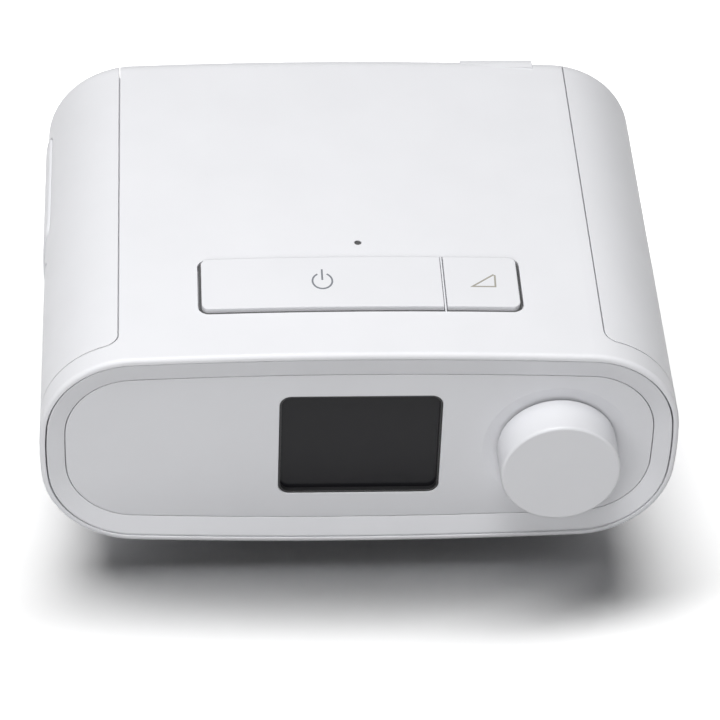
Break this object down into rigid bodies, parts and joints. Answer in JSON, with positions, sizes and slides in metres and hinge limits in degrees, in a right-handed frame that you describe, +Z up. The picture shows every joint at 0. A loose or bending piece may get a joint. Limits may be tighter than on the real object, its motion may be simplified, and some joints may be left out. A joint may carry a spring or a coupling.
{
  "type": "cpap machine",
  "caption": "Bedside CPAP machine: white bulged housing, leaning front panel with dark screen and push dial, two top keys, rear air outlet.",
  "frame": {"origin": "on the floor, under the middle of the whole machine's box", "axes": "+X to the machine's right as seen from the front, +Y to the rear, +Z up; the front leans back 3 degrees"},
  "size_m": [0.1937, 0.174, 0.0835],
  "materials": {
    "white_plastic": "satin",
    "rim_grey_plastic": "satin",
    "panel_grey_plastic": "satin",
    "key_grey_plastic": "satin",
    "dial_white_plastic": "satin",
    "black_plastic": "matte",
    "dark_glass": "polished",
    "inner_plastic": "matte",
    "clear_plastic": "polished",
    "rubber": "matte",
    "silicone": "matte",
    "steel": "brushed",
    "laminated_steel": "matte",
    "gold_contact": "polished",
    "copper": "enamelled",
    "aluminium": "satin",
    "magnet": "matte",
    "circuit_board": "satin",
    "filter_foam": "fibrous",
    "grey_foam": "fibrous",
    "card_plastic": "matte"
  },
  "bodies": {
    "housing": {"accessory_bay": "inner_plastic", "base": "white_plastic", "blower_lower": "inner_plastic", "blower_mounts": "silicone", "blower_screws": "steel", "blower_upper": "inner_plastic", "board_chips": "black_plastic", "board_connectors": "inner_plastic", "board_screws": "steel", "capacitors": "aluminium", "card_socket": "black_plastic", "connector_contacts": "gold_contact", "display_frame": "black_plastic", "display_lens": "dark_glass", "encoder_body": "black_plastic", "eye_gasket": "silicone", "feet": "rubber", "filter_frame": "inner_plastic", "filter_housing": "inner_plastic", "front_bezel": "rim_grey_plastic", "front_board": "circuit_board", "front_panel": "panel_grey_plastic", "hinge_pins": "steel", "housing_screws": "steel", "humidifier_connector": "black_plastic", "inlet_pin": "gold_contact", "intake_duct": "inner_plastic", "io_board": "circuit_board", "key_board": "circuit_board", "lcd_holder": "inner_plastic", "lcd_module": "black_plastic", "left_side_shell": "white_plastic", "light_sensor_lens": "clear_plastic", "main_board": "circuit_board", "main_cover": "white_plastic", "motor_bearings": "steel", "motor_housing": "aluminium", "muffler_box": "inner_plastic", "muffler_foam": "grey_foam", "outlet_port": "white_plastic", "outlet_sleeve": "silicone", "pollen_filter": "filter_foam", "power_dome": "silicone", "power_inlet": "black_plastic", "ramp_dome": "silicone", "rear_panel": "white_plastic", "right_side_shell": "white_plastic", "stator_coils": "copper", "stator_core": "laminated_steel"},
    "filter_door": {"filter_door": "white_plastic"},
    "card_door": {"card_door": "white_plastic"},
    "card": {"memory_card": "card_plastic"},
    "power_key": {"power_button": "key_grey_plastic"},
    "ramp_key": {"ramp_button": "key_grey_plastic"},
    "dial_push": {"encoder_plunger": "inner_plastic"},
    "dial": {"control_dial": "dial_white_plastic", "encoder_shaft": "steel"},
    "rotor": {"impeller": "inner_plastic", "motor_shaft": "steel", "rotor_magnet": "magnet"}
  },
  "joints": [
    {"name": "dial_push_slide", "type": "slide", "parent": "housing", "child": "dial_push", "axis": [0, 0.9986, -0.0523], "range_m": [0, 0.0006], "stiffness_N_per_m": 3000},
    {"name": "dial_turn", "type": "hinge", "parent": "dial_push", "child": "dial", "pos_m": [0.0597, -0.07467, 0.04485], "axis": [0, -0.9986, 0.0523], "continuous": true},
    {"name": "power_press", "type": "slide", "parent": "housing", "child": "power_key", "axis": [0, 0, -1], "range_m": [0, 0.0008], "stiffness_N_per_m": 1500, "deforming": ["power_dome"]},
    {"name": "ramp_press", "type": "slide", "parent": "housing", "child": "ramp_key", "axis": [0, 0, -1], "range_m": [0, 0.0008], "stiffness_N_per_m": 1500, "deforming": ["ramp_dome"]},
    {"name": "filter_door_hinge", "type": "hinge", "parent": "housing", "child": "filter_door", "pos_m": [-0.092, 0.0144, 0.0452], "axis": [0, 0, 1], "range_deg": [0, 65]},
    {"name": "card_door_hinge", "type": "hinge", "parent": "housing", "child": "card_door", "pos_m": [-0.092, -0.0311, 0.0452], "axis": [0, 0, 1], "range_deg": [0, 65]},
    {"name": "card_push", "type": "slide", "parent": "housing", "child": "card", "axis": [1, 0, 0], "range_m": [0, 0.0008], "stiffness_N_per_m": 1000},
    {"name": "blower_spin", "type": "hinge", "parent": "housing", "child": "rotor", "pos_m": [0.019, 0.0175, 0.0524], "axis": [0, 0, 1], "continuous": true}
  ]
}
